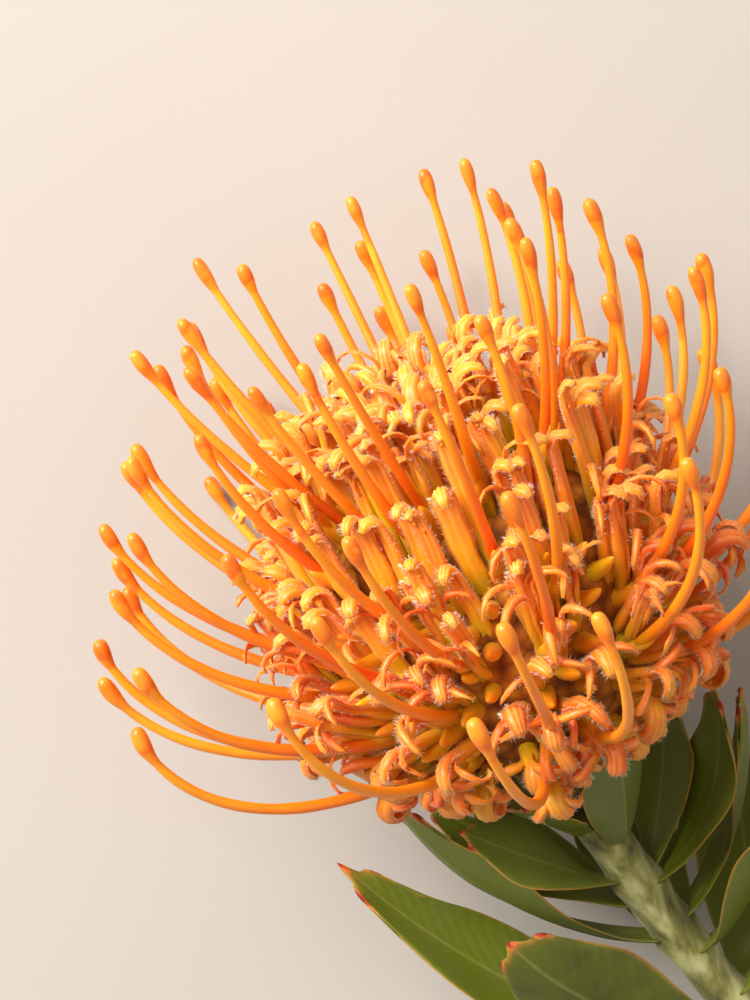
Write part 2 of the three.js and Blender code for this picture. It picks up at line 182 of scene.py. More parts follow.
def make_piece(name, skins, finish, stands_for):
    """One mesh object from many skins, laid down, finished and riding on the flower."""
    points, quads, corners, marks, shift = [], [], [], {}, 0
    for place, four, three, mark in skins:
        points.append(place)
        quads.append(four + shift)
        corners.append(three + shift)
        for key, values in mark.items():
            marks.setdefault(key, []).append(values)
        shift += len(place)
    lying = lie_down(np.concatenate(points))
    lying[:, 2] = np.maximum(lying[:, 2], CLEAR_OF_FLOOR)
    mesh = bpy.data.meshes.new(name)
    faces = np.concatenate(quads).tolist() + np.concatenate(corners).tolist()
    mesh.from_pydata((lying * 0.001).tolist(), [], faces)
    for key, values in marks.items():
        layer = mesh.attributes.new(key, "FLOAT", "POINT")
        layer.data.foreach_set("value", np.concatenate(values).astype(np.float32))
    mesh.polygons.foreach_set("use_smooth", [True] * len(mesh.polygons))
    mesh.materials.append(finish)
    made = bpy.data.objects.new(name, mesh)
    bpy.context.scene.collection.objects.link(made)
    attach(made, "root")
    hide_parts(stands_for)
    print(f"{name}: {sum(len(p.vertices) - 2 for p in mesh.polygons)} triangles")


def make_head_piece(name, skins, finish):
    """One of the pieces that together stand for the flower head."""
    make_piece(name, skins, finish, "flower_head")


def directions(points):
    """Which way a line of points runs at each of them."""
    return unit(np.gradient(points, axis=-2))


def smooth_line(points, shares):
    """Points at shares from 0 to 1 of a line, on a smooth curve through its corners."""
    spans = len(points) - 1
    place = np.clip(np.asarray(shares) * spans, 0, spans - 1e-9)
    i = place.astype(int)
    t = (place - i)[:, None]
    a, b, c, d = (points[np.clip(i + k, 0, spans)] for k in (-1, 0, 1, 2))
    return 0.5 * (2 * b + (c - a) * t + (2 * a - 5 * b + 4 * c - d) * t**2 + (3 * b - a - 3 * c + d) * t**3)


def tube(line, radii, side, sides, marks):
    """A round tube about a line of points."""
    along = directions(line)
    across = unit(side - (along @ side)[:, None] * along)
    third = np.cross(along, across)
    turn = 2 * np.pi * np.arange(sides) / sides
    spokes = np.cos(turn)[None, :, None] * across[:, None] + np.sin(turn)[None, :, None] * third[:, None]
    rings = line[:, None] + spokes * np.asarray(radii)[:, None, None]
    return skin(rings, {key: np.asarray(v, float)[..., None] for key, v in marks.items()})


# %% [markdown]
# ## Finishes from nodes
#
# Colours are picked as sRGB hex values, as from a paint chart, and one function turns them linear
# for the shader. One small function adds any node, with its settings, its ramp stops and its
# inputs, so each finish below reads as a short recipe.

# %% Colour and node helpers
def linear(hex_colour):
    """An sRGB hex colour as linear red, green, blue and full alpha."""
    values = [int(hex_colour[i : i + 2], 16) / 255 for i in (1, 3, 5)]
    return [v / 12.92 if v <= 0.04045 else ((v + 0.055) / 1.055) ** 2.4 for v in values] + [1.0]


def add_node(tree, kind, inputs=None, stops=None, **settings):
    """Adds a node. Its inputs are values or other nodes' outputs, its stops a ramp's colours."""
    node = tree.nodes.new("ShaderNode" + kind)
    for name, value in settings.items():
        setattr(node, name, value)
    if stops:
        ramp = node.color_ramp
        for place, colour in stops[1:-1]:
            ramp.elements.new(place).color = linear(colour)
        for element, (place, colour) in ((ramp.elements[0], stops[0]), (ramp.elements[-1], stops[-1])):
            element.position = place
            element.color = linear(colour)
    for name, value in (inputs or {}).items():
        if isinstance(value, bpy.types.NodeSocket):
            tree.links.new(value, node.inputs[name])
        else:
            node.inputs[name].default_value = value
    return node


def new_finish(name):
    """An empty material and its node tree."""
    finish = bpy.data.materials.new(name)
    finish.use_nodes = True
    finish.node_tree.nodes.clear()
    return finish, finish.node_tree


def grain(size_mm):
    """The noise scale, per metre, whose blotches are about this size."""
    return 1000.0 / size_mm


def grown_colour(tree, size_mm, detail, mark, amount):
    """What colours a grown skin: soft blotches, and a mark on its points that drifts with them."""
    place = add_node(tree, "TexCoord")
    blotches = add_node(tree, "TexNoise", {"Vector": place.outputs["Object"], "Scale": grain(size_mm),
                                           "Detail": detail})
    drift = add_node(tree, "Math", {0: blotches.outputs["Fac"], 1: -0.5}, operation="ADD")
    drifting = add_node(tree, "Math", {0: drift.outputs[0], 1: amount, 2: mark.outputs["Fac"]},
                        operation="MULTIPLY_ADD")
    return place, blotches, drifting


# %% [markdown]
# ## Petal flesh
#
# Styles and straps are the same living tissue: a thin waxy skin over juicy cells, IOR about 1.4.
# Light goes in and comes out again a millimetre or two away, redder than it went in, so the
# shader scatters light below the surface. The skin was grown, not made, which gives the eye a
# soft broad shine and slow drifts of colour along each piece.

# %% Waxy style skin
FLESH_REACH, FLESH_IOR, WAX_IOR = [1.0, 0.42, 0.1], 1.42, 1.45

waxy_style, tree = new_finish("waxy_style_skin")
run = add_node(tree, "Attribute", attribute_name="run")
tone = add_node(tree, "Attribute", attribute_name="tone")
place, blotches, mixed = grown_colour(tree, 7, 3.0, run, 0.35)
ripe = add_node(tree, "ValToRGB", {"Fac": mixed.outputs[0]}, stops=[
    (0.0, "#B8A010"), (0.06, "#D9800C"), (0.22, "#EE5A0E"), (0.55, "#F9760E"), (0.86, "#FF930F"),
    (0.925, "#FF9C14"), (0.95, "#EC660C"), (1.0, "#F5861A"),
])
pale = add_node(tree, "ValToRGB", {"Fac": mixed.outputs[0]}, stops=[
    (0.0, "#B5A818"), (0.15, "#E0900E"), (0.5, "#FF9A1A"), (0.86, "#FFAA22"), (0.95, "#EE7412"),
    (1.0, "#FA981E"),
])
blend = add_node(tree, "Mix", {"Factor": tone.outputs["Fac"], 6: ripe.outputs[0], 7: pale.outputs[0]},
                 data_type="RGBA")
fibres = add_node(tree, "TexNoise", {"Vector": place.outputs["Object"], "Scale": grain(0.5), "Detail": 2.0})
relief = add_node(tree, "Bump", {"Height": fibres.outputs["Fac"], "Strength": 0.25, "Distance": 0.00008})
shine = add_node(tree, "MapRange", {"Value": blotches.outputs["Fac"], "To Min": 0.34, "To Max": 0.5})
flesh = add_node(tree, "BsdfPrincipled", {
    "Base Color": blend.outputs[2], "Roughness": shine.outputs[0], "Normal": relief.outputs[0],
    "IOR": FLESH_IOR, "Subsurface Weight": 0.45, "Subsurface Radius": FLESH_REACH, "Subsurface Scale": 0.0018,
    "Coat Weight": 0.3, "Coat Roughness": 0.25, "Coat IOR": WAX_IOR,
})
add_node(tree, "OutputMaterial", {"Surface": flesh.outputs[0]})
print("finish", waxy_style.name, "with", len(tree.nodes), "nodes")

# %% Ribbed petal skin
ribbed_petal, tree = new_finish("ribbed_petal_skin")
run, rib, tone = (add_node(tree, "Attribute", attribute_name=name) for name in ("run", "rib", "tone"))
place, blotches, mixed = grown_colour(tree, 4, 3.0, run, 0.4)
flushed = add_node(tree, "ValToRGB", {"Fac": mixed.outputs[0]}, stops=[
    (0.0, "#B48E0A"), (0.25, "#E09C0A"), (0.45, "#F2860A"), (0.7, "#EA5208"), (1.0, "#F67E0C"),
])
yellow = add_node(tree, "ValToRGB", {"Fac": mixed.outputs[0]}, stops=[
    (0.0, "#B4AC12"), (0.28, "#DABC10"), (0.5, "#F8B010"), (0.78, "#F88C0C"), (1.0, "#FFA81C"),
])
body = add_node(tree, "Mix", {"Factor": tone.outputs["Fac"], 6: flushed.outputs[0], 7: yellow.outputs[0]},
                data_type="RGBA")
# Painted highlight: cream on the crests of the outer ribs, growing towards the hooked ends, paints the light
# that the ridges catch.
highlight_towards_hook = add_node(tree, "MapRange", {"Value": run.outputs["Fac"], "From Min": 0.35, "From Max": 0.75,
                                   "To Max": 0.3}, clamp=True)
painted_rib_highlight = add_node(tree, "Math", {0: rib.outputs["Fac"], 1: highlight_towards_hook.outputs[0]}, operation="MULTIPLY")
rib_highlighted_body = add_node(tree, "Mix", {"Factor": painted_rib_highlight.outputs[0], 6: body.outputs[2], 7: linear("#FFD07C")},
                   data_type="RGBA")
fibres = add_node(tree, "TexNoise", {"Vector": place.outputs["Object"], "Scale": grain(0.45), "Detail": 2.0})
relief = add_node(tree, "Bump", {"Height": fibres.outputs["Fac"], "Strength": 0.5, "Distance": 0.0001})
shine = add_node(tree, "MapRange", {"Value": blotches.outputs["Fac"], "To Min": 0.42, "To Max": 0.62})
flesh = add_node(tree, "BsdfPrincipled", {
    "Base Color": rib_highlighted_body.outputs[2], "Roughness": shine.outputs[0], "Normal": relief.outputs[0],
    "IOR": FLESH_IOR, "Subsurface Weight": 0.5, "Subsurface Radius": FLESH_REACH, "Subsurface Scale": 0.0015,
    "Sheen Weight": 0.15, "Sheen Roughness": 0.4, "Sheen Tint": linear("#FFE2B0"),
    "Coat Weight": 0.3, "Coat Roughness": 0.25, "Coat IOR": WAX_IOR,
})
add_node(tree, "OutputMaterial", {"Surface": flesh.outputs[0]})
print("finish", ribbed_petal.name, "with", len(tree.nodes), "nodes")

# %% [markdown]
# ## Down, dry anthers, felt
#
# The straps are edged with silky down. A single hair is a clear straw with an IOR near 1.5 and
# about 0.03 mm across, which is too fine to show, so the hairs are drawn two to three times as
# thick. The empty anthers at the strap ends have dried to dusty lumps without shine. The receptacle
# under the florets is felty and matt, and its dark brown is painted shade between the florets.

# %% Silky down
silky_down, tree = new_finish("silky_down")
run = add_node(tree, "Attribute", attribute_name="run")
worn = add_node(tree, "ValToRGB", {"Fac": run.outputs["Fac"]}, stops=[(0.0, "#FAAC54"), (0.4, "#FFDCA8"),
                                                                     (1.0, "#FFF0D8")])
straw = add_node(tree, "BsdfPrincipled", {
    "Base Color": worn.outputs[0], "Roughness": 0.4, "IOR": 1.5, "Subsurface Weight": 0.6,
    "Subsurface Radius": [1.0, 0.8, 0.6], "Subsurface Scale": 0.0006,
})
add_node(tree, "OutputMaterial", {"Surface": straw.outputs[0]})
print("finish", silky_down.name)

# %% Dry anthers and the felt between the florets
dry_anther, tree = new_finish("dry_anther")
place = add_node(tree, "TexCoord")
crumbs = add_node(tree, "TexNoise", {"Vector": place.outputs["Object"], "Scale": grain(0.6), "Detail": 4.0})
dusty = add_node(tree, "ValToRGB", {"Fac": crumbs.outputs["Fac"]}, stops=[(0.3, "#D8740C"), (0.55, "#F0981C"),
                                                                          (0.75, "#F8C058")])
relief = add_node(tree, "Bump", {"Height": crumbs.outputs["Fac"], "Strength": 0.6, "Distance": 0.00015})
lump = add_node(tree, "BsdfPrincipled", {
    "Base Color": dusty.outputs[0], "Roughness": 0.6, "Normal": relief.outputs[0], "IOR": 1.45,
    "Subsurface Weight": 0.3, "Subsurface Radius": FLESH_REACH, "Subsurface Scale": 0.001,
})
add_node(tree, "OutputMaterial", {"Surface": lump.outputs[0]})

receptacle_felt_and_shade, tree = new_finish("receptacle_felt_and_shade")
place = add_node(tree, "TexCoord")
tufts = add_node(tree, "TexVoronoi", {"Vector": place.outputs["Object"], "Scale": grain(2.6)})
# Painted shade: the felt darkens to deep brown towards the edges of its tufts, and its dark brown stands for
# the shade deep between the florets.
shade = add_node(tree, "ValToRGB", {"Fac": tufts.outputs["Distance"]}, stops=[
    (0.0, "#C4861A"), (0.4, "#A86414"), (0.8, "#6E3A0C"),
])
relief = add_node(tree, "Bump", {"Height": tufts.outputs["Distance"], "Strength": 1.0, "Distance": 0.0008},
                  invert=True)
felt = add_node(tree, "BsdfPrincipled", {
    "Base Color": shade.outputs[0], "Roughness": 0.85, "Normal": relief.outputs[0], "IOR": 1.4,
})
add_node(tree, "OutputMaterial", {"Surface": felt.outputs[0]})
print("finishes", dry_anther.name, receptacle_felt_and_shade.name)

# %% [markdown]
# ## The core of the head
#
# Under the florets sits a woody cone. Only slits of it show between the straps, so it needs the
# right size and a brown felty finish, whose dark brown is painted shade in those slits, and no more.
# A lathe does it: one profile, turned. Its radius is drawn in by a little so that the florets spring from
# inside it.

# %% The core
CORE_RADIUS, CORE_MIDDLE, CORE_BELOW, CORE_ABOVE, CORE_POWER = 26.0, 33.0, 31.0, 20.0, 2.5
CORE_BOTTOM, CORE_NECK = 3.0, 9.0


def core_radius(z):
    """The radius of the solid core at a height."""
    z = np.asarray(z, float)
    power = np.where(z < CORE_MIDDLE, CORE_POWER, 2.0)
    share = np.abs(z - CORE_MIDDLE) / np.where(z < CORE_MIDDLE, CORE_BELOW, CORE_ABOVE)
    return CORE_RADIUS * np.maximum(0, 1 - np.minimum(share, 1) ** power) ** (1 / power)


heights = CORE_BOTTOM + (CORE_MIDDLE + CORE_ABOVE - CORE_BOTTOM) * np.sin(np.linspace(0, np.pi / 2, 40))
radii = np.maximum(core_radius(heights) - 0.7, 0.2)
radii[0] = CORE_NECK
turn = 2 * np.pi * np.arange(64) / 64
rings = np.stack([
    radii[:, None] * np.cos(turn), radii[:, None] * np.sin(turn), np.repeat(heights[:, None], 64, 1),
], axis=-1)
make_head_piece("head_core", [skin(rings)], receptacle_felt_and_shade)

# %% [markdown]
# ## The styles
#
# Seventy-five long styles carry the look of the flower. Each leaves the head at an angle that opens
# from the crown down to the sides, bulges a little, and bends in over the head at its tip. A seeded
# draw shifts each one, as growth does. A style is a tube two millimetres thick that narrows to a
# neck, and its end swells to a spindle, the pollen knob.

# %% The middle line of one style
GOLDEN_ANGLE = math.radians(137.50776)
STYLE_COUNT, STYLE_SEED, FIRST_AZIMUTH = 75, 1856, math.radians(73.2)
ROOT_HEIGHT, ROOT_RADIUS = (31.2, 8.7), (4.4, 9.7)
LEAVE_ANGLE = (math.radians(34.2), math.radians(94.3))
TIP_ANGLE = (math.radians(4.1), math.radians(6.9))
STYLE_LENGTH, LENGTH_POWER, STRAIGHTEN = (64.0, 65.0), 0.78, 0.62
INCURVE, BULGE = math.radians(16), 0.39
LEAN, LEAN_AZIMUTH, STYLE_STEPS = math.radians(3), math.radians(130), 20
SPREAD = {"azimuth": math.radians(7), "leave": math.radians(5), "tip": math.radians(7), "length": 2.5}


def meridian(share, azimuth, leave, tip, length):
    """A line that leaves the head at one angle to the axis and ends at another."""
    opening = math.acos(1 - share * (1 - math.cos(LEAVE_ANGLE[1])))
    leave = max(LEAVE_ANGLE[0], opening) + leave
    tip = mix(*TIP_ANGLE, share**2) + tip
    length = mix(*STYLE_LENGTH, share**LENGTH_POWER) + length
    gone = (np.arange(STYLE_STEPS) + 0.5) / STYLE_STEPS
    angle = tip + (leave - tip) * (1 - gone) ** STRAIGHTEN
    angle = angle + INCURVE * share * (BULGE * np.sin(np.pi * gone) - gone**3)
    step = length / STYLE_STEPS
    out = mix(*ROOT_RADIUS, share) + np.concatenate([[0], np.cumsum(np.sin(angle) * step)])
    up = mix(*ROOT_HEIGHT, share) + np.concatenate([[0], np.cumsum(np.cos(angle) * step)])
    lean = math.tan(LEAN) * length * 0.5 * np.linspace(0, 1, STYLE_STEPS + 1) ** 2
    x = out * math.cos(azimuth) + lean * math.cos(LEAN_AZIMUTH)
    y = out * math.sin(azimuth) + lean * math.sin(LEAN_AZIMUTH)
    return np.stack([x, y, up], axis=-1), length


def style_line(number):
    """The corners of a style's middle line, its azimuth and its length."""
    draw = make_draw(STYLE_SEED * 7919 + number * 104729 + 1)
    azimuth = FIRST_AZIMUTH + number * GOLDEN_ANGLE + draw() * SPREAD["azimuth"]
    leave, tip, length = (draw() * SPREAD[key] for key in ("leave", "tip", "length"))
    line, length = meridian((number + 0.5) / STYLE_COUNT, azimuth, leave, tip, length)
    return line, azimuth, length


def leaves_core(line):
    """The first corner of a line that is outside the core."""
    return int(np.argmax(np.hypot(line[:, 0], line[:, 1]) > core_radius(line[:, 2])))


# %% Styles and their pollen knobs
KNOB_LENGTH, KNOB_RADIUS, NECK_RADIUS, FOOT_RADIUS = 6.2, (1.06, 1.32), (0.58, 0.7), (0.86, 1.04)
STYLE_SIDES, SHAFT_ROWS, KNOB_ROWS = 12, 40, 15

styles = []
for number in range(STYLE_COUNT):
    line, azimuth, length = style_line(number)
    draw = make_draw(STYLE_SEED * 31 + number * 7 + 5)
    outer_share = (number + 0.5) / STYLE_COUNT
    neck_radius, foot_radius = mix(*NECK_RADIUS, outer_share), mix(*FOOT_RADIUS, outer_share)
    knob = KNOB_LENGTH * (1 + 0.12 * draw())
    start = max(0, leaves_core(line) - 1) / STYLE_STEPS
    neck = 1 - knob / length
    shaft = start + (neck - start) * np.linspace(0, 1, SHAFT_ROWS)
    shaft_radius = mix(foot_radius, neck_radius, ((shaft - start) / (neck - start)) ** 1.4)
    shaft_radius *= 1 + 0.03 * np.sin(shaft * 40 + number)
    end = np.linspace(0, 1, KNOB_ROWS + 1)[1:]
    swell = np.clip(end / 0.62, 0, 1)
    knob_radius = mix(neck_radius, mix(*KNOB_RADIUS, outer_share), swell * swell * (3 - 2 * swell))
    knob_radius *= np.sqrt(np.clip(1 - (np.clip(end - 0.62, 0, 1) / 0.383) ** 2.2, 0, 1))
    shares = np.concatenate([shaft, neck + (1 - neck) * end])
    radii = np.concatenate([shaft_radius, knob_radius * (1 + 0.06 * draw())])
    middle = rest_on_surface(smooth_line(line, shares), radii - PRESS_DEPTH)
    side = round_axis(azimuth)
    shaded = 0.5 + 0.5 * draw()
    styles.append(tube(middle, radii, side, STYLE_SIDES, {
        "run": np.concatenate([0.9 * (shaft - start) / (neck - start), 0.9 + 0.1 * end]),
        "tone": np.full(len(radii), shaded),
    }))
make_head_piece("styles", styles, waxy_style)

# %% [markdown]
# ## The rolled-back perianths
#
# Behind each style the floret's perianth has split and rolled back. Three of its segments stay
# together as a ribbed sheath, which is a tube at its foot and a thin curled ribbon at its end; the
# rest hangs loose as narrow claws, which bend into open hoops. Over the crown the sheaths stand long
# and straight up the axis with only their ends hooked; down the sides they open into hoops, and
# underneath they roll tight. Each one is a closed outline swept along a stalk and a spiral.

# %% One rolled strap
SUNK, SET_BACK, BELLY = 3.0, 1.8, 0.5


def section(outer_count, inner_count, ribs):
    """A strap's outline: places from -1 to 1 across it, which ones are outside, and its ribs."""
    outside = np.linspace(-1, 1, outer_count)
    inside = np.linspace(1, -1, inner_count + 2)[1:-1]
    t = np.concatenate([outside, inside])
    on_outside = np.concatenate([np.ones(outer_count), np.zeros(inner_count)])
    rib = np.where(on_outside > 0, 0.5 + 0.5 * np.cos(ribs * np.pi * t), 0.5 + 0.5 * np.cos(3 * np.pi * t))
    return t, on_outside, rib * (1 - np.abs(t) ** 6)


SHEATH_SECTION, CLAW_SECTION = section(9, 5, 4), section(5, 3, 2)


def turned(vector, axis, angle):
    """A vector turned about a unit axis."""
    return (vector * math.cos(angle) + np.cross(axis, vector) * math.sin(angle)
            + axis * (vector @ axis) * (1 - math.cos(angle)))


def strap(root, inward, away, back, form, draw, outline, rows_count):
    """A strap's skin, and for each of its rows what the hairs and anthers need."""
    t, on_outside, rib = outline
    stalk = (form["stalk"] + SUNK) * (1 + 0.22 * draw())
    curl = form["curl"] * (1 + 0.2 * draw())
    turn = form["turn"] * (1 + 0.24 * draw())
    twist, sway = 0.7 * form["wild"] * draw(), 1.6 * form["wild"] * draw()
    side = unit(np.cross(away, back))
    bend_start = stalk / (stalk + curl * turn * 0.85)
    rows = np.linspace(0, 1, rows_count)
    run = np.clip((rows - bend_start) / (1 - bend_start), 0, 1)
    straight = np.clip(rows / bend_start, 0, 1)
    radius = curl * (1 - form["tighten"] * run)
    bend = turn * run
    middle = (root + away * (stalk * straight + radius * np.sin(bend))[:, None]
              + inward * (4.5 * (1 - straight) ** 2)[:, None]
              + back * (curl - radius * np.cos(bend) - BELLY * np.sin(np.pi * straight))[:, None]
              + side * (sway * rows**2 + 0.3 * form["wild"] * np.sin(9 * rows + 40 * twist))[:, None])
    middle = rest_on_surface(middle, 0.6)
    along = directions(middle)
    outer = np.sin(bend)[:, None] * away - np.cos(bend)[:, None] * back
    across = unit(np.cross(along, outer))
    outer = np.cross(across, along)
    lean = (twist * rows)[:, None]
    across, outer = across * np.cos(lean) + outer * np.sin(lean), outer * np.cos(lean) - across * np.sin(lean)
    swell = np.interp(rows, [0, 0.3, 0.6, 0.82, 0.95, 1], [0.8, 0.9, 1, 0.92, 0.6, 0.25])
    half = form["width"] / 2 * swell * (1 + 0.07 * np.sin(25 * rows + 50 * twist))
    arch = form["arch"] * half[:, None] * (1 - t**2)
    tube_share = np.clip((bend_start * 1.15 - rows) / (0.6 * bend_start), 0, 1)[:, None]
    wall = form["wall"] * (1 - 0.5 * t**2) * np.interp(rows, [0, 0.9, 1], [1, 0.8, 0.4])[:, None]
    inside = -wall / 2 - form["tube"] * tube_share * (1 - t**2) * half[:, None]
    lift = arch + np.where(on_outside > 0, wall / 2 + form["rib"] * rib, inside - 1.2 * form["rib"] * rib)
    phase = 60 * twist
    lift = lift + 0.13 * form["wild"] * (np.sin(19 * rows + phase)[:, None] * t
                                         + np.sin(31 * rows + 2 * phase)[:, None] * t**2)
    rings = (middle[:, None] + across[:, None] * (half[:, None] * t)[..., None]
             + outer[:, None] * lift[..., None])
    shape = (rows_count, len(t))
    marks = {"run": rows[:, None], "rib": rib[None, :], "tone": form["tone"]}
    marks = {key: np.broadcast_to(v, shape)[:, ::-1] for key, v in marks.items()}
    return skin(rings[:, ::-1], marks), {
        "middle": middle, "across": across, "outer": outer, "along": along, "half": half, "rows": rows,
        "arch": form["arch"] * half + form["wall"] / 2,
    }


# %% What form a strap has at an angle from the top of the head
FORM_ANGLES = (20, 80, 118, 134, 148)
# The tone runs from flushed red at 0 to yellow at 1. The crown's florets are yellow-green at the foot, and
# the crown's high tone is also painted light: the crown faces the lamp, so it is made yellower and lighter
# there.
SHEATH_FORMS = {  # at each of the angles, in millimetres and radians
    "stalk": (8.5, 19.0, 13.5, 4.2, 1.6), "curl": (2.8, 1.8, 2.6, 2.5, 1.7),
    "turn": (2.5, 2.5, 2.4, 4.2, 5.0), "width": (3.2, 3.4, 3.2, 3.3, 2.6), "wild": (0.6, 0.45, 0.9, 1.3, 1.0),
    "tighten": (0.25, 0.25, 0.3, 0.4, 0.4), "tone": (0.8, 0.8, 0.3, 0.5, 0.8),
    "arch": 0.5, "wall": 0.6, "rib": 0.3, "tube": 0.75,
}
CLAW_FORMS = {
    "stalk": (8.0, 14.0, 11.5, 4.0, 1.6), "curl": (3.6, 3.5, 3.6, 2.8, 1.8),
    "turn": (3.2, 2.8, 2.7, 4.3, 5.0), "width": (1.8, 1.5, 1.6, 1.8, 1.6), "wild": (1.1, 1.1, 1.5, 1.6, 1.2),
    "tighten": (0.2, 0.2, 0.2, 0.35, 0.35), "tone": (0.6, 0.45, 0.08, 0.3, 0.6),
    "arch": 0.3, "wall": 0.3, "rib": 0.12, "tube": 0.3,
}


def strap_form(forms, degrees, draw):
    """A form blended for a place on the head, with a seeded shift."""
    form = {key: float(np.interp(degrees, FORM_ANGLES, np.broadcast_to(value, len(FORM_ANGLES))))
            for key, value in forms.items()}
    form["tone"] = min(1.0, max(0.0, form["tone"] + 0.32 * draw()))
    form["width"] *= 1 + 0.22 * draw()
    return form


# %% Where the florets stand
STRAP_SEED = 31
BETWEEN_COUNT, BETWEEN_SET_BACK, LOWEST_ANGLE = 270, 0.5, math.radians(150)
UPRIGHT_BELOW, SPLAYED_BEYOND = 92, 140
SMOOTH_BAND, BARE_BELOW, COVERED_BAND = (48, 96), 0.4, (46, 76)
SHEATH_ROWS, CLAW_ROWS, CLAW_ASIDE = 20, 17, 0.8
TUBE_REACH, TUBE_RADIUS, TUBE_ROWS, TUBE_SIDES = 6.0, (1.7, 1.1), 12, 10


def rise(leave, degrees):
    """The angle to the axis at which a perianth leaves: up the axis near the crown."""
    share = min(1.0, max(0.0, (degrees - UPRIGHT_BELOW) / (SPLAYED_BEYOND - UPRIGHT_BELOW)))
    inward = math.radians(-13) * math.exp(-((degrees - 40) / 35) ** 2)
    return leave * mix(0.1, 1.0, share * share * (3 - 2 * share)) + inward


def floret(place, azimuth, leave, set_back, draw):
    """Adds the sheath and claws of one floret that stands at a place on the core."""
    outward = out_from_axis(azimuth)
    up = np.array([0.0, 0.0, 1.0])
    degrees = math.degrees(math.atan2(math.hypot(place[0], place[1]), place[2] - CORE_MIDDLE))
    angle = rise(leave, degrees)
    away = up * math.cos(angle) + outward * math.sin(angle)
    back = outward * math.cos(angle) - up * math.sin(angle)
    root = place - away * SUNK + back * set_back
    inward = unit(np.array([-place[0], -place[1], (CORE_MIDDLE - place[2]) * 0.8]))
    side = np.cross(away, back)
    form = strap_form(SHEATH_FORMS, degrees, draw)
    faced = turned(back, away, 0.5 * draw())
    sheaths.append(strap(root, inward, away, faced, form, draw, SHEATH_SECTION, SHEATH_ROWS))
    if SMOOTH_BAND[0] < degrees < SMOOTH_BAND[1] and draw() <= BARE_BELOW:
        return
    for hand in (-1, 1):
        form = strap_form(CLAW_FORMS, degrees, draw)
        faced = turned(back, away, hand * (0.9 + 0.5 * draw()))
        beside = root + side * hand * CLAW_ASIDE
        claws.append(strap(beside, inward, away, faced, form, draw, CLAW_SECTION, CLAW_ROWS))


def floret_tube(place, azimuth, leave, draw):
    """The unsplit foot of a floret: a plump tube that leaves the core square and turns up the axis."""
    outward = out_from_axis(azimuth)
    inward = unit(np.array([-place[0], -place[1], (CORE_MIDDLE - place[2]) * 0.8]))
    angle = leave * 0.75
    away = np.array([0.0, 0.0, math.cos(angle)]) + outward * math.sin(angle)
    rows = np.linspace(0, 1, TUBE_ROWS) ** 0.8
    reach = TUBE_REACH * (1 + 0.25 * draw())
    line = place - inward * (rows * reach * 0.7 - 2)[:, None] + away * (reach * 0.6 * rows**2)[:, None]
    radii = mix(*TUBE_RADIUS, rows) * (1 + 0.15 * draw()) * np.sqrt(np.clip(1.01 - rows**3, 0.01, 1))
    side = round_axis(azimuth)
    tone = 0.55 + 0.3 * draw()
    return tube(rest_on_surface(line, 1.0), radii, side, TUBE_SIDES, {
        "run": 0.18 + 0.32 * rows, "rib": 0 * rows, "tone": tone + 0 * rows})


def core_profile(polar):
    """How far out and how high the core's skin is, at an angle from its top."""
    across, up = np.sin(polar), np.cos(polar)
    power = np.where(up > 0, 2.0, CORE_POWER)
    half_height = np.where(up > 0, CORE_ABOVE, CORE_BELOW)
    reach = ((across / CORE_RADIUS) ** power + (np.abs(up) / half_height) ** power) ** (-1 / power)
    return reach * across, CORE_MIDDLE + reach * up


polars = np.linspace(0, LOWEST_ANGLE, 200)
out, high = core_profile(polars)
skin_area = np.concatenate([[0], np.cumsum(np.hypot(np.diff(out), np.diff(high)) * (out[1:] + out[:-1]))])
sheaths, claws, tubes = [], [], []
for i in range(STYLE_COUNT):
    line, azimuth, _ = style_line(i)
    at = leaves_core(line)
    way = directions(line)[at]
    draw = make_draw(STRAP_SEED * 7919 + i * 104729 + 1)
    floret(line[at], azimuth, math.acos(way[2]), SET_BACK, draw)
    tubes.append(floret_tube(line[at], azimuth, math.acos(way[2]), draw))
for i in range(BETWEEN_COUNT):
    draw = make_draw(STRAP_SEED * 50021 + i * 104729 + 1)
    polar = np.interp((i + 0.5) / BETWEEN_COUNT * skin_area[-1], skin_area, polars)
    azimuth = i * GOLDEN_ANGLE + 1.1 + 0.1 * draw()
    if i % 3 and COVERED_BAND[0] < math.degrees(polar) < COVERED_BAND[1]:
        continue
    out, high = core_profile(polar)
    place = np.array([out * math.cos(azimuth), out * math.sin(azimuth), high])
    leave = np.interp(polar, *np.radians([[0, 47, 97, 143, 150], [0, 34, 62, 94, 112]]))
    floret(place, azimuth, leave, BETWEEN_SET_BACK, draw)
    tubes.append(floret_tube(place, azimuth, leave, draw))

make_head_piece("sheaths", [s for s, _ in sheaths], ribbed_petal)
make_head_piece("claws", [s for s, _ in claws], ribbed_petal)
make_head_piece("floret_tubes", tubes, ribbed_petal)

# %% [markdown]
# ## Down on the straps
#
# Silky hairs edge every strap and stand along the ribs where it hooks over. Blender can grow hair
# from a surface, but a mesh travels to other tools unchanged, so each hair is a slim three-sided
# spike. They are placed by seeded draws along the strap's own rows.

# %% Hairs along the straps
HAIR_LENGTH, HAIR_RADIUS = 0.85, 0.038
SHEATH_HAIRS, CLAW_HAIRS = (130, 60), (26, 8)  # along the edges, on the outer face
hair_random = np.random.default_rng(7)


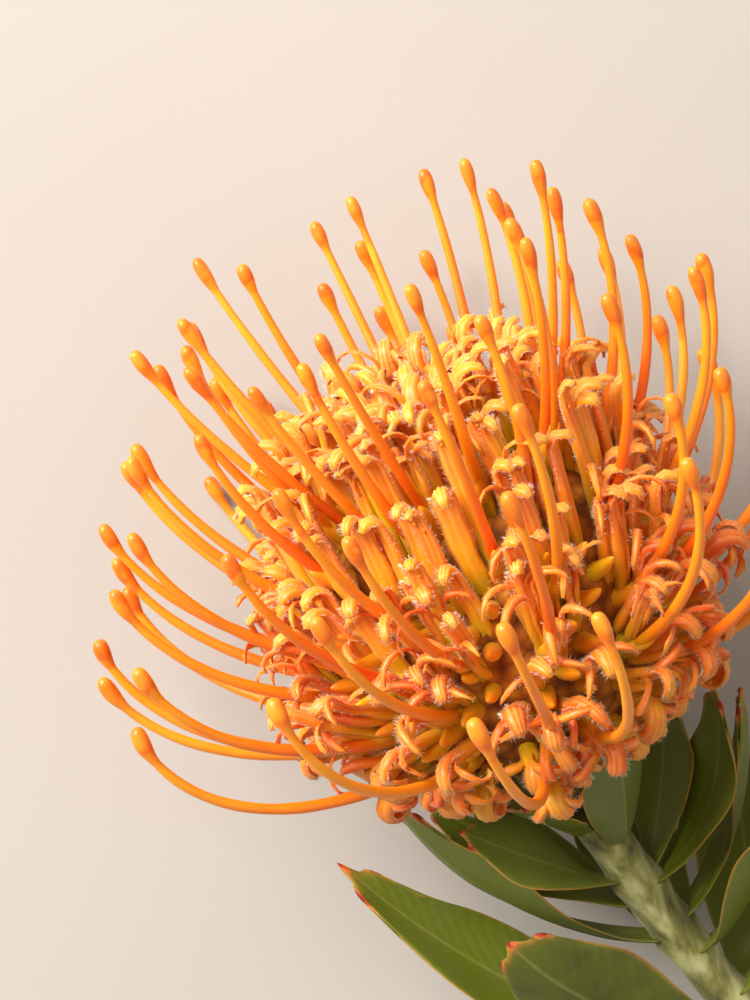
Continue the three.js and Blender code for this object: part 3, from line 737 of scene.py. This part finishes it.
def spikes(feet, ways, lengths, radius):
    """Three-sided spikes with their points along ways."""
    helper = np.where(np.abs(ways[:, 2:3]) < 0.8, [[0.0, 0.0, 1.0]], [[1.0, 0.0, 0.0]])
    across = unit(np.cross(ways, helper))
    third = np.cross(ways, across)
    turn = 2 * np.pi * np.arange(3) / 3
    ring = feet[:, None] + radius * (np.cos(turn)[None, :, None] * across[:, None]
                                     + np.sin(turn)[None, :, None] * third[:, None])
    tip = feet + ways * lengths[:, None]
    points = np.concatenate([ring, tip[:, None]], axis=1).reshape(-1, 3)
    base = 4 * np.arange(len(feet))[:, None]
    faces = np.concatenate([base + [0, 1, 3], base + [1, 2, 3], base + [2, 0, 3]])
    run = np.tile([0.0, 0.0, 0.0, 1.0], len(feet))
    return points, np.zeros((0, 4), int), faces, {"run": run}


def down_on(strap_rows, edge_hairs, face_hairs):
    """Hairs on one strap: some along both edges, some on the outer face where it hooks over."""
    rows = strap_rows["rows"]
    count = edge_hairs + face_hairs
    where = 0.48 + 0.52 * hair_random.random(count) ** 0.7
    t = np.where(np.arange(count) < edge_hairs, np.sign(hair_random.random(count) - 0.5),
                 hair_random.uniform(-0.8, 0.8, count))
    at = {key: np.stack([np.interp(where, rows, strap_rows[key][:, k]) for k in range(3)], axis=-1)
          for key in ("middle", "across", "outer", "along")}
    half = np.interp(where, rows, strap_rows["half"])
    arch = np.interp(where, rows, strap_rows["arch"]) * (1 - t**2)
    feet = at["middle"] + at["across"] * (half * t)[:, None] + at["outer"] * arch[:, None]
    ways = unit(at["across"] * (t * 1.3)[:, None] + at["outer"] * 0.6 + at["along"] * 0.6
                + 0.45 * hair_random.normal(size=(count, 3)))
    lengths = HAIR_LENGTH * hair_random.uniform(0.45, 1.15, count)
    return spikes(feet, ways, lengths, HAIR_RADIUS)


make_head_piece("sheath_down", [down_on(rows, *SHEATH_HAIRS) for _, rows in sheaths], silky_down)
make_head_piece("claw_down", [down_on(rows, *CLAW_HAIRS) for _, rows in claws], silky_down)

# %% [markdown]
# ## Empty anthers
#
# A strap ends in the anther that once lay against the style: two or three pale lobes side by side.
# Small lumps, each a short closed skin, sit in the end of each curl.

# %% Anther lobes
LOBE_LENGTH, LOBE_RADIUS = 1.2, 0.36


def lobe(foot, way, length, radius):
    """One egg-shaped lobe."""
    rows = np.linspace(0, 1, 6)
    line = foot + way * (rows * length)[:, None]
    radii = radius * np.sqrt(np.clip(1 - (2 * rows - 1) ** 2, 0.01, 1))
    side = np.cross(way, [0.3, 0.5, 0.8])
    return tube(line, radii, unit(side), 6, {})


anthers = []
for _, s in sheaths:
    for k in (-0.6, 0.6):
        row = -3 - int(hair_random.integers(3))
        foot = s["middle"][row] + s["across"][row] * 0.55 * k - s["outer"][row] * 0.35
        way = unit(s["along"][row] + 0.3 * k * s["across"][row] + 0.2 * hair_random.normal(size=3))
        anthers.append(lobe(foot, way, LOBE_LENGTH * hair_random.uniform(0.7, 1.1), LOBE_RADIUS))
make_head_piece("anthers", anthers, dry_anther)

# %% [markdown]
# ## Leaf skin
#
# The leaves are leathery, about 0.8 mm thick, with a tough waxy cuticle, IOR about 1.45, and a
# slight grey bloom. What shows is a soft sheen, a pale midrib, fine slanting veins, and the red
# edge with hard red calluses on the teeth. Marks on each point say how far along and across the
# leaf it is, and how grey that leaf is.

# %% Leaf cuticle
VEIN_SPACING, MARK_LENGTH, WAVE_SHARE = 3.2, 40, 0.32

leaf_cuticle, tree = new_finish("leaf_cuticle")
run, across, edge, tone = (add_node(tree, "Attribute", attribute_name=name)
                           for name in ("run", "across", "edge", "tone"))
place, blotches, mixed = grown_colour(tree, 6, 4.0, tone, 0.5)
blade_colour = add_node(tree, "ValToRGB", {"Fac": mixed.outputs[0]}, stops=[
    (0.0, "#4C5210"), (0.35, "#6C7816"), (0.62, "#6C762C"), (1.0, "#707448"),
])
off_middle = add_node(tree, "Math", {0: across.outputs["Fac"]}, operation="ABSOLUTE")
rib = add_node(tree, "MapRange", {"Value": off_middle.outputs[0], "From Min": 0.0, "From Max": 0.06,
                                  "To Min": 0.35, "To Max": 0.0}, clamp=True)
ribbed = add_node(tree, "Mix", {"Factor": rib.outputs[0], 6: blade_colour.outputs[0], 7: linear("#A8AE60")},
                  data_type="RGBA")
slant = add_node(tree, "Math", {0: off_middle.outputs[0], 1: -0.35, 2: run.outputs["Fac"]},
                 operation="MULTIPLY_ADD")
vein_place = add_node(tree, "CombineXYZ", {"X": slant.outputs[0], "Y": across.outputs["Fac"]})
vein_scale = MARK_LENGTH / VEIN_SPACING * WAVE_SHARE
veins = add_node(tree, "TexWave", {"Vector": vein_place.outputs[0], "Scale": vein_scale,
                                   "Distortion": 1.2, "Detail": 2.0}, bands_direction="X")
faint = add_node(tree, "Math", {0: veins.outputs["Fac"], 1: 0.03}, operation="MULTIPLY")
veined = add_node(tree, "Mix", {"Factor": faint.outputs[0], 6: ribbed.outputs[2], 7: linear("#93A05A")},
                  data_type="RGBA")
reddened = add_node(tree, "ValToRGB", {"Fac": edge.outputs["Fac"]}, stops=[
    (0.0, "#C8903C"), (0.5, "#C87030"), (0.75, "#A8381A"), (1.0, "#8A2412"),
])
at_edge = add_node(tree, "MapRange", {"Value": edge.outputs["Fac"], "From Max": 0.45}, clamp=True)
edged = add_node(tree, "Mix", {"Factor": at_edge.outputs[0], 6: veined.outputs[2], 7: reddened.outputs[0]},
                 data_type="RGBA")
relief = add_node(tree, "Bump", {"Height": veins.outputs["Fac"], "Strength": 0.12, "Distance": 0.0002})
pores = add_node(tree, "TexNoise", {"Vector": place.outputs["Object"], "Scale": grain(0.5), "Detail": 2.0})
fine = add_node(tree, "Bump", {"Height": pores.outputs["Fac"], "Strength": 0.3, "Distance": 0.0001,
                               "Normal": relief.outputs[0]})
shine = add_node(tree, "MapRange", {"Value": blotches.outputs["Fac"], "To Min": 0.38, "To Max": 0.58})
cuticle = add_node(tree, "BsdfPrincipled", {
    "Base Color": edged.outputs[2], "Roughness": shine.outputs[0], "Normal": fine.outputs[0], "IOR": 1.45,
    "Subsurface Weight": 0.12, "Subsurface Radius": [0.5, 1.0, 0.2], "Subsurface Scale": 0.001,
})
add_node(tree, "OutputMaterial", {"Surface": cuticle.outputs[0]})
print("finish", leaf_cuticle.name, "with", len(tree.nodes), "nodes")

# %% [markdown]
# ## The leaves
#
# Sixteen leaves stand round the upper stem. Each follows the same rule as its solid: a narrow foot,
# a blade that widens to its middle, a blunt end with three teeth, folded a little along the midrib.
# The fine grid adds what the solid leaves out: rounded edges, a raised midrib, a slight wave.

# %% The leaf blades
LEAVES = [
    # height, azimuth, angle at base and tip, sweep, length, width, tip share, fold, twist, grey
    (-13, -132, (42, 46), 0, 19, 12, 0.55, 12, -10, 0.2),
    (-17, -66, (34, 20), 10, 23, 13, 0.6, 24, 0, 0.75),
    (-12, 136, (60, 54), 0, 18, 10, 0.5, 10, 0, 0.8),
    (-21, 92, (52, 36), 0, 24, 12, 0.5, 14, 0, 0.5),
    (-24, -168, (46, 40), -8, 26, 14, 0.45, 12, -35, 0.6),
    (-25, 30, (39, 27), -8, 26, 14, 0.5, 12, 15, 0.4),
    (-27, -8, (66, 10), 0, 34, 15, 0.45, 16, 24, 0.35),
    (-30, 156, (50, 42), -6, 35, 14, 0.5, 12, -25, 0.35),
    (-35, 9, (64, 14), 0, 37, 16, 0.5, 14, -20, 0.3),
    (-37, 179, (62, 16), 0, 49, 16, 0.45, 14, 32, 0.7),
    (-41, -30, (52, 40), 0, 34, 16, 0.55, 12, -20, 0.5),
    (-43, 100, (36, 20), 0, 37, 16, 0.5, 14, 0, 0.5),
    (-51, -14, (56, 44), 0, 38, 17, 0.55, 12, -28, 0.4),
    (-54, -148, (62, 24), 0, 46, 19, 0.62, 18, 52, 0.1),
    (-58, 55, (42, 26), 0, 43, 17, 0.5, 14, 6, 0.5),
    (-64, 179, (57, 26), -12, 74, 18, 0.4, 14, -25, 0.45),
]
LEAF_THICKNESS, LEAF_BASE, LEAF_TEETH, LEAF_ROUND = 0.8, 0.32, 0.035, 0.16
LEAF_ROWS, LEAF_COLUMNS, LEAF_STEPS, NODE_GAP, FOOT_SUNK = 48, 25, 7, 0.3, 1.4
STEM_RADIUS, STEM_TOP_RADIUS, STEM_END_RADIUS = 3.5, 4.1, 3.8


def stem_radius(z):
    share = np.minimum(1, -np.asarray(z, float) / STEM_LENGTH)
    neck = np.exp(-share * STEM_LENGTH / 12)
    return mix(STEM_RADIUS, STEM_TOP_RADIUS, neck) + (STEM_END_RADIUS - STEM_RADIUS) * share**3


def leaf_frame(leaf):
    """The leaf's middle line at each of the solid's rows, and its directions there."""
    z, azimuth, angle, sweep, length, *_, twist, _ = leaf
    azimuth = math.radians(azimuth)
    foot = out_from_axis(azimuth)
    place = stem_point(z) + foot * (float(stem_radius(z)) + NODE_GAP + LEAF_THICKNESS / 2)
    places, sides, alongs = [], [], []
    for i in range(LEAF_STEPS + 1):
        run = i / LEAF_STEPS
        facing = azimuth + math.radians(sweep) * run
        outward = out_from_axis(facing)
        tilt = math.radians(mix(*angle, run))
        along = outward * math.sin(tilt) + np.array([0.0, 0.0, math.cos(tilt)])
        if i:
            place = place + along * length / LEAF_STEPS
        side = round_axis(facing)
        side = turned(side, along, math.radians(twist) * min(1, run * 2))
        places.append(place)
        sides.append(side)
        alongs.append(along)
    return np.array(places), np.array(sides), np.array(alongs)


def leaf_skin(leaf, number):
    """A leaf as a skin whose rings run round the blade, from foot to tip."""
    length, width, tip, fold, grey = leaf[4], leaf[5], leaf[6], leaf[7], leaf[9]
    places, sides, alongs = leaf_frame(leaf)
    run = np.linspace(0, 1, LEAF_ROWS)
    middle = smooth_line(places, run)
    side = unit(smooth_line(sides, run))
    along = unit(smooth_line(alongs, run))
    face = np.cross(along, side)
    breadth = mix(LEAF_BASE, 1, np.sin(np.minimum(1, run / 0.62) * np.pi / 2) ** 1.2)
    taper = np.where(run < 0.62, 1, mix(tip, 1, np.cos((run - 0.62) / 0.38 * np.pi / 2)))
    half = (width / 2 * breadth * taper)[:, None]
    flat = np.sin(np.linspace(-np.pi / 2, np.pi / 2, LEAF_COLUMNS))
    t = np.concatenate([flat, flat[-2:0:-1]])[None, :]
    upper = np.concatenate([np.ones(LEAF_COLUMNS), -np.ones(LEAF_COLUMNS - 2)])[None, :]
    run = run[:, None]
    tooth = LEAF_TEETH * (0.5 + 0.5 * np.cos(3 * np.pi * t)) * run**6
    shorten = LEAF_ROUND * t**2 * run**3
    folded = math.tan(math.radians(fold)) * (np.hypot(t, 0.25) - 0.25)
    wave = 0.35 * np.sin(7 * run + number) * t**2 + 0.22 * np.sin(13 * run + 2 * number) * t
    points = (middle[:, None] + side[:, None] * (half * t)[..., None]
              + face[:, None] * (half * folded + wave * np.minimum(1, 3 * run))[..., None]
              + along[:, None] * ((tooth - shorten) * length)[..., None])
    thin = np.sqrt(np.clip(1 - t**4, 0.0, 1)) * np.sqrt(np.clip(1 - run**24, 0.0, 1))
    midrib = 0.35 * np.exp(-((t / 0.06) ** 2)) * (1 - run)
    lift = upper * (LEAF_THICKNESS / 2 * thin) + np.where(upper > 0, 0.4, -1) * midrib
    points = rest_on_surface(points, LEAF_THICKNESS / 2) + face[:, None] * lift[..., None]
    foot = out_from_axis(math.radians(leaf[1]))
    points -= foot * (FOOT_SUNK * np.clip(1 - run / 0.14, 0, 1) ** 2)[..., None]
    callus = np.exp(-(((run - 1) / 0.035) ** 2)) * (0.2 + 0.8 * np.clip(np.cos(3 * np.pi * t), 0, 1))
    rim = 0.32 * np.clip((np.abs(t) - 0.95) / 0.05, 0, 1) * np.clip(3 * run, 0, 1)
    lift_callus = 0.35 * np.exp(-(((run - 0.985) / 0.02) ** 2)) * np.clip(np.cos(3 * np.pi * t), 0, 1)
    points += face[:, None] * (upper * lift_callus * np.minimum(1, 40 * (1 - run)))[..., None]
    edge = np.clip(callus + rim, 0, 1)
    marks = {"run": run * length / MARK_LENGTH, "across": t, "edge": edge, "tone": grey}
    marks = {key: np.broadcast_to(v, points.shape[:2])[:, ::-1] for key, v in marks.items()}
    return skin(points[:, ::-1], marks)


for i, leaf in enumerate(LEAVES):
    name = f"leaf_{i + 1:02d}"
    make_piece(name + "_blade", [leaf_skin(leaf, i)], leaf_cuticle, name)

# %% [markdown]
# ## Stem and bracts
#
# The stem is a young woody shoot: green bark under a coat of short grey down, thickened where each
# leaf stood. The bracts under the head are small pointed scales, dull olive with downy tips.

# %% Downy bark
downy_bark, tree = new_finish("downy_bark")
place = add_node(tree, "TexCoord")
stretch = add_node(tree, "Mapping", {"Vector": place.outputs["Object"], "Scale": (1.0, 0.3, 1.0)})
streaks = add_node(tree, "TexNoise", {"Vector": stretch.outputs[0], "Scale": grain(2.6), "Detail": 5.0})
scar = add_node(tree, "Attribute", attribute_name="scar")
bark = add_node(tree, "ValToRGB", {"Fac": streaks.outputs["Fac"]}, stops=[
    (0.3, "#4E4820"), (0.48, "#8E8C46"), (0.7, "#CCC98C"),
])
scarred = add_node(tree, "Mix", {"Factor": scar.outputs["Fac"], 6: bark.outputs[0], 7: linear("#4A3018")},
                   data_type="RGBA")
relief = add_node(tree, "Bump", {"Height": streaks.outputs["Fac"], "Strength": 0.6, "Distance": 0.0003})
wood = add_node(tree, "BsdfPrincipled", {
    "Base Color": scarred.outputs[2], "Roughness": 0.75, "Normal": relief.outputs[0], "IOR": 1.45,
    "Sheen Weight": 0.3, "Sheen Roughness": 0.5,
})
add_node(tree, "OutputMaterial", {"Surface": wood.outputs[0]})
print("finish", downy_bark.name)

# %% The stem, with its leaf cushions and scars
STEM_ROWS, STEM_SIDES = 240, 40
SCARS = [(-(70 + 38 * i / 5), i * GOLDEN_ANGLE) for i in range(6)]
CUSHIONS = [(leaf[0], math.radians(leaf[1])) for leaf in LEAVES]

z = np.linspace(STEM_TOP, -STEM_LENGTH, STEM_ROWS)
middle = stem_point(z)
along = directions(middle)
along[0] = (0, 0, -1)
across = unit(np.array([1.0, 0, 0]) - along[:, :1] * along)
third = np.cross(along, across)
turn = 2 * np.pi * np.arange(STEM_SIDES) / STEM_SIDES
spokes = np.cos(turn)[None, :, None] * across[:, None] + np.sin(turn)[None, :, None] * third[:, None]
facing = np.arctan2(spokes[..., 1], spokes[..., 0])
swell, scar_mark = np.zeros((STEM_ROWS, STEM_SIDES)), np.zeros((STEM_ROWS, STEM_SIDES))
for height, azimuth in CUSHIONS + SCARS:
    off = np.angle(np.exp(1j * (facing - azimuth))) * 3.6
    away_mm = np.hypot(off / 2.2, (z[:, None] - height + 1.0) / 2.4)
    swell += 0.55 * np.exp(-(away_mm**2))
for height, azimuth in SCARS:
    off = np.angle(np.exp(1j * (facing - azimuth))) * 3.6
    scar_mark += np.exp(-(np.hypot(off / 1.3, (z[:, None] - height) / 0.9) ** 4))
radius = stem_radius(z)[:, None] + np.minimum(swell, 0.8) - 0.25 * np.clip(scar_mark, 0, 1)
radius += 0.08 * np.sin(5 * facing + z[:, None] / 9) * np.minimum(1, -z[:, None] / 30)
rings = middle[:, None] + spokes * radius[..., None]
make_piece("stem_bark", [skin(rings, {"scar": np.clip(scar_mark, 0, 1)})], downy_bark, "stem")

# %% Bracts
woolly_bract, tree = new_finish("woolly_bract")
place = add_node(tree, "TexCoord")
run = add_node(tree, "Attribute", attribute_name="run")
mottle = add_node(tree, "TexNoise", {"Vector": place.outputs["Object"], "Scale": grain(1.5), "Detail": 4.0})
mixed = add_node(tree, "Math", {0: mottle.outputs["Fac"], 1: 0.5, 2: run.outputs["Fac"]},
                 operation="MULTIPLY_ADD")
olive = add_node(tree, "ValToRGB", {"Fac": mixed.outputs[0]}, stops=[
    (0.2, "#4A4A14"), (0.6, "#7A7424"), (1.1 / 1.2, "#A89048"),
])
relief = add_node(tree, "Bump", {"Height": mottle.outputs["Fac"], "Strength": 0.6, "Distance": 0.0003})
wool = add_node(tree, "BsdfPrincipled", {
    "Base Color": olive.outputs[0], "Roughness": 0.8, "Normal": relief.outputs[0], "IOR": 1.45,
    "Sheen Weight": 0.3, "Sheen Roughness": 0.5,
})
add_node(tree, "OutputMaterial", {"Surface": wool.outputs[0]})

CONE_TOP, CONE_BOTTOM, CONE_TOP_RADIUS, CONE_FOOT_RADIUS = 2.7, -8.3, 9.6, 4.4
cone_heights = np.array([CONE_BOTTOM, mix(CONE_BOTTOM, CONE_TOP, 0.45), CONE_TOP])
cone_radii = np.array([CONE_FOOT_RADIUS, mix(CONE_FOOT_RADIUS, CONE_TOP_RADIUS, 0.35),
                       CONE_TOP_RADIUS * 0.86])
turn = 2 * np.pi * np.arange(32) / 32
cone = np.stack([cone_radii[:, None] * np.cos(turn), cone_radii[:, None] * np.sin(turn),
                 np.repeat(cone_heights[:, None], 32, 1)], axis=-1)
bracts = [skin(cone, {"run": 0.1})]
BRACT_RINGS, BRACTS_IN_RING, BRACT_LENGTH, BRACT_WIDTH = 4, 13, 5.2, 4.4
for level in range(BRACT_RINGS):
    for k in range(BRACTS_IN_RING):
        azimuth = (k + 0.5 * (level % 2)) * 2 * math.pi / BRACTS_IN_RING
        outward = out_from_axis(azimuth)
        side = round_axis(azimuth)
        share = level / BRACT_RINGS
        low = mix(CONE_BOTTOM + 0.3, CONE_TOP - 3.4, share)
        foot = float(np.interp(low, cone_heights, cone_radii)) - 0.4
        rows = np.linspace(0, 1, 9)
        line = (outward * foot + np.array([0, 0, low]) + outward * (rows * BRACT_LENGTH * 0.42)[:, None]
                + np.array([0, 0, 1.0]) * (rows * BRACT_LENGTH * 0.8)[:, None])
        half = BRACT_WIDTH / 2 * np.sin(np.pi * (0.25 + 0.72 * rows)) ** 0.8
        t = np.array([-1, -0.5, 0, 0.5, 1, 0.5, 0, -0.5])
        wall = np.array([0, 0.35, 0.5, 0.35, 0, -0.3, -0.3, -0.3])
        rings = (line[:, None] + side * (half[:, None] * t)[..., None]
                 + outward * (wall + 0.5 * (1 - t**2) - 0.2 * rows[:, None])[..., None])
        bracts.append(skin(rings, {"run": rows[:, None]}))
make_piece("bracts", bracts, woolly_bract, "involucre")

# %% [markdown]
# ## Floor, light and camera
#
# The flower lies on a pale matt sheet. One wide soft lamp from the upper left does the modelling,
# and a weaker wide one from the other side keeps the shaded florets warm. The camera looks down
# on it with a slightly long lens.

# %% The floor
painted_board, tree = new_finish("painted_board")
place = add_node(tree, "TexCoord")
clouds = add_node(tree, "TexNoise", {"Vector": place.outputs["Object"], "Scale": grain(160), "Detail": 2.0})
cream = add_node(tree, "ValToRGB", {"Fac": clouds.outputs["Fac"]}, stops=[(0.3, "#B0AAA3"), (0.7, "#B6B0A9")])
board = add_node(tree, "BsdfPrincipled", {"Base Color": cream.outputs[0], "Roughness": 0.9, "IOR": 1.45})
add_node(tree, "OutputMaterial", {"Surface": board.outputs[0]})

floor_mesh = bpy.data.meshes.new("floor")
floor_mesh.from_pydata([(-3, -3, 0), (3, -3, 0), (3, 3, 0), (-3, 3, 0)], [], [(0, 1, 2, 3)])
floor_mesh.materials.append(painted_board)
floor = bpy.data.objects.new("floor", floor_mesh)
bpy.context.scene.collection.objects.link(floor)
floor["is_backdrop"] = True

# %% The lights
aim = Vector(lie_down([0, 0, 36]) * 0.001)


def lamp(name, place, size, power, colour):
    """A square soft lamp that looks at the head."""
    light = bpy.data.lights.new(name, "AREA")
    light.shape, light.size, light.energy, light.color = "SQUARE", size, power, linear(colour)[:3]
    made = bpy.data.objects.new(name, light)
    made.location = place
    made.rotation_mode = "QUATERNION"
    made.rotation_quaternion = (aim - Vector(place)).to_track_quat("-Z", "Y")
    bpy.context.scene.collection.objects.link(made)


lamp("window", (-0.42, 0.78, 0.72), 0.7, 28, "#FFFAF4")
lamp("wall", (0.8, -0.3, 0.9), 1.4, 2.5, "#FFEEDC")

bpy.context.scene.view_settings.view_transform = "Standard"

world = bpy.data.worlds.new("studio")
bpy.context.scene.world = world
world.use_nodes = True
world.node_tree.nodes["Background"].inputs["Color"].default_value = linear("#FFF8F2")
world.node_tree.nodes["Background"].inputs["Strength"].default_value = 0.42

# %% The camera
CAMERA_TILT, CAMERA_ROLL = 0.346, 0.42
PIXELS_PER_MM, CAMERA_DISTANCE, AIM_HEIGHT = 6.568, 620.0, 36.0
AIM_X, AIM_Y, FRAME_WIDTH, FRAME_HEIGHT = 474.57, 555.89, 750, 1000

back = np.array([0.0, math.sin(CAMERA_TILT - LIE_TILT), math.cos(CAMERA_TILT - LIE_TILT)])
axis_seen = unit(along_head - back * (along_head @ back))
beside = np.cross(axis_seen, back)
up_frame = math.cos(CAMERA_ROLL) * axis_seen + math.sin(CAMERA_ROLL) * beside
right_frame = math.cos(CAMERA_ROLL) * beside - math.sin(CAMERA_ROLL) * axis_seen
eye = (head_foot + AIM_HEIGHT * along_head + back * CAMERA_DISTANCE
       - right_frame * (AIM_X - FRAME_WIDTH / 2) / PIXELS_PER_MM
       + up_frame * (AIM_Y - FRAME_HEIGHT / 2) / PIXELS_PER_MM)

SENSOR = 24.0
lens = bpy.data.cameras.new("camera")
lens.sensor_fit, lens.sensor_height = "VERTICAL", SENSOR
lens.lens = SENSOR * PIXELS_PER_MM * CAMERA_DISTANCE / FRAME_HEIGHT
lens.clip_start, lens.clip_end = 0.01, 20.0
camera = bpy.data.objects.new("camera", lens)
turned_frame = Matrix([Vector(right_frame), Vector(up_frame), Vector(back)]).transposed()
camera.matrix_world = Matrix.Translation(Vector(eye * 0.001)) @ turned_frame.to_4x4()
bpy.context.scene.collection.objects.link(camera)
bpy.context.scene.camera = camera
print("camera: lens", round(lens.lens, 2), "mm, eye", eye.round(1))

# %% [markdown]
# ## Size of the dressed flower
#
# The box round everything dressed is measured, and its size printed in millimetres. The
# dressed flower has to keep the size of the solids.

# %% The dressed box
low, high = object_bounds()
print("dressed", [round(v * 1000, 1) for v in high - low], "mm")
